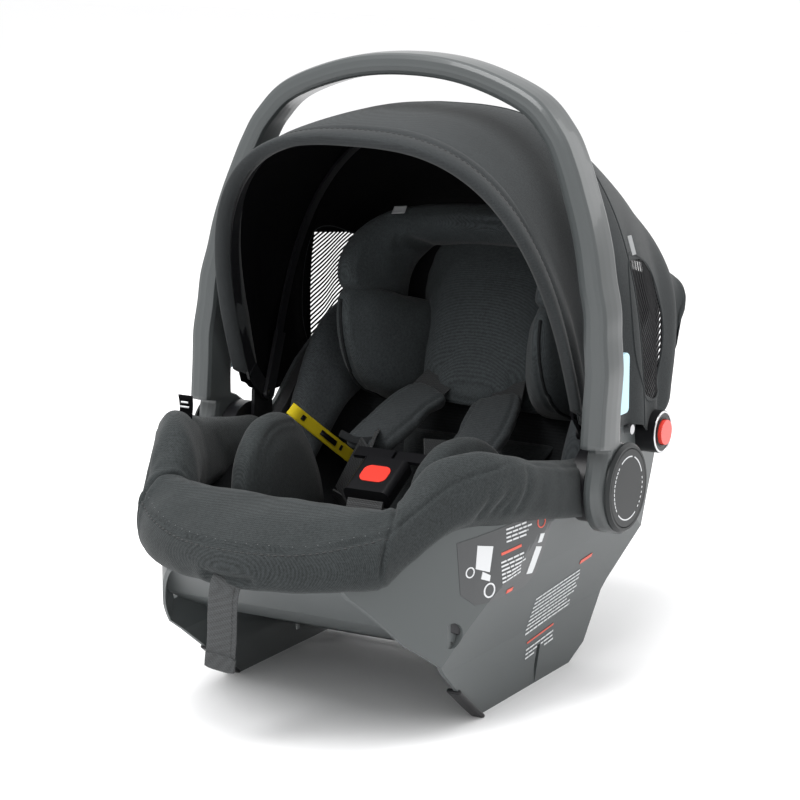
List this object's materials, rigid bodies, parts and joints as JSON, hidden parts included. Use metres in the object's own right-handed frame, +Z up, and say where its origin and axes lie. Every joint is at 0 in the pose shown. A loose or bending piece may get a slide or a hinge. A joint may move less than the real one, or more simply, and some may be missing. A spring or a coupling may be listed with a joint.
{
  "type": "infant car seat",
  "caption": "Infant car seat carrier: padded moulded shell with harness, height-adjustable headrest, swing-back carry handle and folding canopy.",
  "frame": {"origin": "on the floor under the middle of the whole object's box", "axes": "+X to the occupant's left, +Y from the feet to the head, +Z up"},
  "size_m": [0.436, 0.6195, 0.564],
  "materials": {
    "shell_plastic": "fine-grained moulded polypropylene, dark grey",
    "foam": "closed-cell energy-absorbing foam beads",
    "black_plastic": "moulded black nylon, satin",
    "handle_plastic": "satin moulded dark grey",
    "blue_button": "pale blue moulded",
    "charcoal_fabric": "heathered charcoal twill, padded",
    "cover_fabric": "near-black knitted lining, padded",
    "canopy_fabric": "heathered charcoal woven cloth",
    "webbing": "woven polyester webbing, grey",
    "pad_fabric": "soft padded sleeve",
    "buckle_plastic": "moulded black",
    "red_button": "red moulded",
    "grey_button": "grey moulded",
    "steel": "zinc-plated steel"
  },
  "bodies": {
    "seat": {"shell": "shell_plastic", "impact_liner": "foam", "hub_base_left": "black_plastic", "hub_base_right": "black_plastic", "foot_glide_left": "black_plastic", "foot_glide_right": "black_plastic", "shell_screws": "steel", "lever_guide": "black_plastic", "back_cushion": "cover_fabric", "side_bolster_left": "charcoal_fabric", "side_bolster_right": "charcoal_fabric", "upper_wing_left": "charcoal_fabric", "upper_wing_right": "charcoal_fabric", "lip_cushion": "charcoal_fabric", "insert_cushion": "charcoal_fabric", "leg_wing_left": "charcoal_fabric", "leg_wing_right": "charcoal_fabric", "crotch_strap": "webbing", "buckle_housing": "buckle_plastic", "buckle_tongue_left": "buckle_plastic", "buckle_tongue_right": "buckle_plastic", "shoulder_strap_left": "webbing", "shoulder_strap_right": "webbing", "shoulder_pad_left": "pad_fabric", "shoulder_pad_right": "pad_fabric", "lower_strap_left": "webbing", "lower_strap_right": "webbing", "lap_strap_left": "webbing", "lap_strap_right": "webbing", "adjuster_housing": "black_plastic", "adjuster_strap": "webbing", "canopy_hinge_left": "black_plastic", "canopy_hinge_right": "black_plastic", "canopy_rear_panel": "canopy_fabric"},
    "handle": {"handle_bow": "handle_plastic", "hub_cover_left": "handle_plastic", "hub_cover_right": "handle_plastic"},
    "handle_button_left": {"handle_button_left": "blue_button"},
    "handle_button_right": {"handle_button_right": "blue_button"},
    "canopy_mid": {"canopy_mid_bow": "black_plastic"},
    "canopy_front": {"canopy_front_bow": "black_plastic", "canopy_front_panel": "canopy_fabric"},
    "headrest": {"headrest_board": "black_plastic", "headrest_pad": "charcoal_fabric", "headrest_wing_left": "charcoal_fabric", "headrest_wing_right": "charcoal_fabric"},
    "headrest_lever": {"headrest_lever": "black_plastic"},
    "buckle_button": {"buckle_button": "red_button"},
    "adjuster_button": {"adjuster_button": "grey_button"},
    "release_lever": {"release_lever": "black_plastic"},
    "base_latch": {"latch_rod": "steel", "latch_hook_left": "steel", "latch_hook_right": "steel"},
    "pod_left": {"pod_housing_left": "black_plastic", "pod_cap_left": "red_button"},
    "pod_right": {"pod_housing_right": "black_plastic", "pod_cap_right": "red_button"}
  },
  "joints": [
    {"name": "handle_turn", "type": "hinge", "parent": "seat", "child": "handle", "pos_m": [0, 0, 0.194], "axis": [-1, 0, 0], "range_deg": [0, 110]},
    {"name": "handle_button_left_press", "type": "slide", "parent": "handle", "child": "handle_button_left", "axis": [0, -1, 0], "range_m": [0, 0.0035], "stiffness_N_per_m": 900},
    {"name": "handle_button_right_press", "type": "slide", "parent": "handle", "child": "handle_button_right", "axis": [0, -1, 0], "range_m": [0, 0.0035], "stiffness_N_per_m": 900},
    {"name": "canopy_mid_fold", "type": "hinge", "parent": "seat", "child": "canopy_mid", "pos_m": [0, 0.015, 0.235], "axis": [-1, 0, 0], "range_deg": [0, 24], "deforming": ["canopy_rear_panel"]},
    {"name": "canopy_front_fold", "type": "hinge", "parent": "canopy_mid", "child": "canopy_front", "pos_m": [0, 0.015, 0.235], "axis": [-1, 0, 0], "range_deg": [0, 24], "deforming": ["canopy_front_panel"]},
    {"name": "headrest_slide", "type": "slide", "parent": "seat", "child": "headrest", "axis": [0, 0.342, 0.9397], "range_m": [0, 0.03], "deforming": ["shoulder_strap_left", "shoulder_strap_right"]},
    {"name": "headrest_lever_press", "type": "slide", "parent": "headrest", "child": "headrest_lever", "axis": [0, 0.342, 0.9397], "range_m": [0, 0.006], "stiffness_N_per_m": 500},
    {"name": "buckle_button_press", "type": "slide", "parent": "seat", "child": "buckle_button", "axis": [0, 0.493, -0.87], "range_m": [0, 0.0015], "stiffness_N_per_m": 1500},
    {"name": "adjuster_button_press", "type": "slide", "parent": "seat", "child": "adjuster_button", "axis": [0, 0, -1], "range_m": [0, 0.001], "stiffness_N_per_m": 1500},
    {"name": "release_lever_pull", "type": "slide", "parent": "seat", "child": "release_lever", "axis": [0, 0.504, 0.8637], "range_m": [0, 0.008], "stiffness_N_per_m": 800},
    {"name": "base_latch_turn", "type": "hinge", "parent": "seat", "child": "base_latch", "pos_m": [0, 0.058, 0.014], "axis": [-1, 0, 0], "range_deg": [0, 20]},
    {"name": "pod_left_slide", "type": "slide", "parent": "seat", "child": "pod_left", "axis": [1, 0, 0], "range_m": [0, 0.01]},
    {"name": "pod_right_slide", "type": "slide", "parent": "seat", "child": "pod_right", "axis": [-1, 0, 0], "range_m": [0, 0.01]}
  ],
  "couplings": [
    {"joint": "canopy_front_fold", "follows": "canopy_mid_fold", "ratio": 1},
    {"joint": "base_latch_turn", "follows": "release_lever_pull", "rad_per_m": 43.63}
  ]
}
